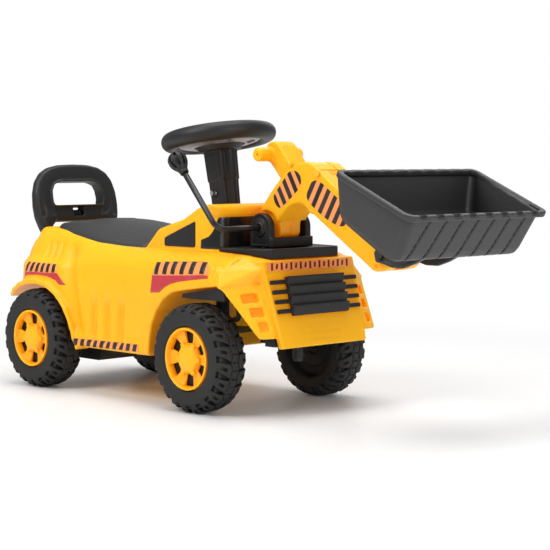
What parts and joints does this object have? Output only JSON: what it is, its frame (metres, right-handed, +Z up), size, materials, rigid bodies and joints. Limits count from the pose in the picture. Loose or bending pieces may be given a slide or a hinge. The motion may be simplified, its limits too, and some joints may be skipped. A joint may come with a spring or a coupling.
{
  "type": "ride on digger",
  "caption": "Child's foot-to-floor ride on loader: moulded body on four wheels, steered front wheels, lidded seat, push handle and a lever-worked boom with a tipping bucket.",
  "frame": {"origin": "middle of the part's footprint, on the ground the wheels stand on", "axes": "+X forward (towards the bucket), +Y to the rider's left, +Z up"},
  "size_m": [0.8248, 0.2734, 0.3837],
  "materials": {
    "yellow_plastic": "injection moulded, satin sheen, fine scuffs",
    "black_plastic": "moulded black plastic, faint grain",
    "gloss_black_plastic": "smooth dark panel standing in for tinted windows",
    "tyre_plastic": "blow moulded charcoal tyre, matt",
    "grey_plastic": "dark grey moulded plastic, dusty inside",
    "underside_grey": "mid grey moulded plastic",
    "zinc_steel": "zinc plated steel",
    "black_steel": "black powder coated rod"
  },
  "bodies": {
    "body": {"body_shell": "yellow_plastic", "side_window_left": "gloss_black_plastic", "side_window_right": "gloss_black_plastic", "windscreen": "gloss_black_plastic", "grille": "black_plastic", "deck_plate": "black_plastic", "boom_yoke": "black_plastic", "yoke_screw_left": "zinc_steel", "yoke_screw_right": "zinc_steel", "seat_hinge_pin": "zinc_steel", "backrest": "black_plastic", "backrest_screw_left": "zinc_steel", "backrest_screw_right": "zinc_steel", "kingpin_left": "zinc_steel", "kingpin_right": "zinc_steel", "front_axle_bracket": "black_plastic", "rear_axle_housing": "black_plastic", "rear_axle": "zinc_steel", "rear_left_push_nut": "zinc_steel", "rear_right_push_nut": "zinc_steel"},
    "seat_lid": {"seat": "black_plastic"},
    "steering": {"steering_wheel": "black_plastic", "wheel_underside": "underside_grey", "horn_spring": "zinc_steel", "steering_column": "black_plastic", "column_screw": "zinc_steel", "column_nut": "zinc_steel", "steering_rod": "zinc_steel"},
    "horn": {"horn_button": "black_plastic"},
    "steer_left": {"knuckle_left": "black_plastic", "stub_axle_left": "zinc_steel", "front_left_push_nut": "zinc_steel"},
    "steer_right": {"knuckle_right": "black_plastic", "stub_axle_right": "zinc_steel", "front_right_push_nut": "zinc_steel"},
    "tie_bar": {"tie_rod": "black_plastic"},
    "wheel_front_left": {"front_left_tyre": "tyre_plastic", "front_left_rim": "yellow_plastic"},
    "wheel_front_right": {"front_right_tyre": "tyre_plastic", "front_right_rim": "yellow_plastic"},
    "wheel_rear_left": {"rear_left_tyre": "tyre_plastic", "rear_left_rim": "yellow_plastic"},
    "wheel_rear_right": {"rear_right_tyre": "tyre_plastic", "rear_right_rim": "yellow_plastic"},
    "boom": {"boom_left_shell": "yellow_plastic", "boom_right_shell": "yellow_plastic", "boom_screw_rear": "zinc_steel", "boom_screw_front": "zinc_steel", "lever_rod": "black_steel", "lever_knob": "black_plastic", "lever_clip": "zinc_steel", "bucket_handle_pin": "zinc_steel", "bucket_pivot_pin": "zinc_steel"},
    "tip_handle": {"bucket_handle": "yellow_plastic"},
    "tip_link": {"tilt_link": "zinc_steel"},
    "bucket_tray": {"bucket": "grey_plastic", "bucket_bracket": "grey_plastic"}
  },
  "joints": [
    {"name": "boom_lift", "type": "hinge", "parent": "body", "child": "boom", "pos_m": [0.06528, 0, 0.241], "axis": [0, -1, 0], "range_deg": [-44, 20]},
    {"name": "handle_tip", "type": "hinge", "parent": "boom", "child": "tip_handle", "pos_m": [0.16198, 0, 0.3134], "axis": [0, 1, 0], "range_deg": [-15, 45]},
    {"name": "bucket_tip", "type": "hinge", "parent": "boom", "child": "bucket_tray", "pos_m": [0.27828, 0, 0.214], "axis": [0, 1, 0], "range_deg": [-15, 45]},
    {"name": "link_swing", "type": "hinge", "parent": "tip_handle", "child": "tip_link", "pos_m": [0.15532, 0, 0.30342], "axis": [0, 1, 0], "range_deg": [-45, 15]},
    {"name": "steering_turn", "type": "hinge", "parent": "body", "child": "steering", "pos_m": [-0.05372, 0, 0.337], "axis": [-0.165, 0, 0.9863], "range_deg": [-20, 20]},
    {"name": "horn_press", "type": "slide", "parent": "steering", "child": "horn", "axis": [0.165, 0, -0.9863], "range_m": [0, 0.0025], "deforming": ["horn_spring"]},
    {"name": "knuckle_left_turn", "type": "hinge", "parent": "body", "child": "steer_left", "pos_m": [0.02798, 0.07, 0.072], "axis": [0, 0, 1], "range_deg": [-20, 20]},
    {"name": "knuckle_right_turn", "type": "hinge", "parent": "body", "child": "steer_right", "pos_m": [0.02798, -0.07, 0.072], "axis": [0, 0, 1], "range_deg": [-20, 20]},
    {"name": "tie_rod_swing", "type": "hinge", "parent": "steer_left", "child": "tie_bar", "pos_m": [0.00298, 0.07, 0.095], "axis": [0, 0, 1], "range_deg": [-20, 20]},
    {"name": "front_left_spin", "type": "hinge", "parent": "steer_left", "child": "wheel_front_left", "pos_m": [0.02798, 0.1118, 0.072], "axis": [0, 1, 0], "continuous": true},
    {"name": "front_right_spin", "type": "hinge", "parent": "steer_right", "child": "wheel_front_right", "pos_m": [0.02798, -0.1118, 0.072], "axis": [0, 1, 0], "continuous": true},
    {"name": "rear_left_spin", "type": "hinge", "parent": "body", "child": "wheel_rear_left", "pos_m": [-0.32142, 0.1118, 0.072], "axis": [0, 1, 0], "continuous": true},
    {"name": "rear_right_spin", "type": "hinge", "parent": "body", "child": "wheel_rear_right", "pos_m": [-0.32142, -0.1118, 0.072], "axis": [0, 1, 0], "continuous": true},
    {"name": "seat_lift", "type": "hinge", "parent": "body", "child": "seat_lid", "pos_m": [-0.11272, 0, 0.23], "axis": [0, 1, 0], "range_deg": [0, 65]}
  ],
  "couplings": [
    {"joint": "bucket_tip", "follows": "handle_tip", "ratio": 1},
    {"joint": "link_swing", "follows": "handle_tip", "ratio": -1},
    {"joint": "knuckle_left_turn", "follows": "steering_turn", "ratio": 1},
    {"joint": "knuckle_right_turn", "follows": "steering_turn", "ratio": 1},
    {"joint": "tie_rod_swing", "follows": "steering_turn", "ratio": -1}
  ]
}
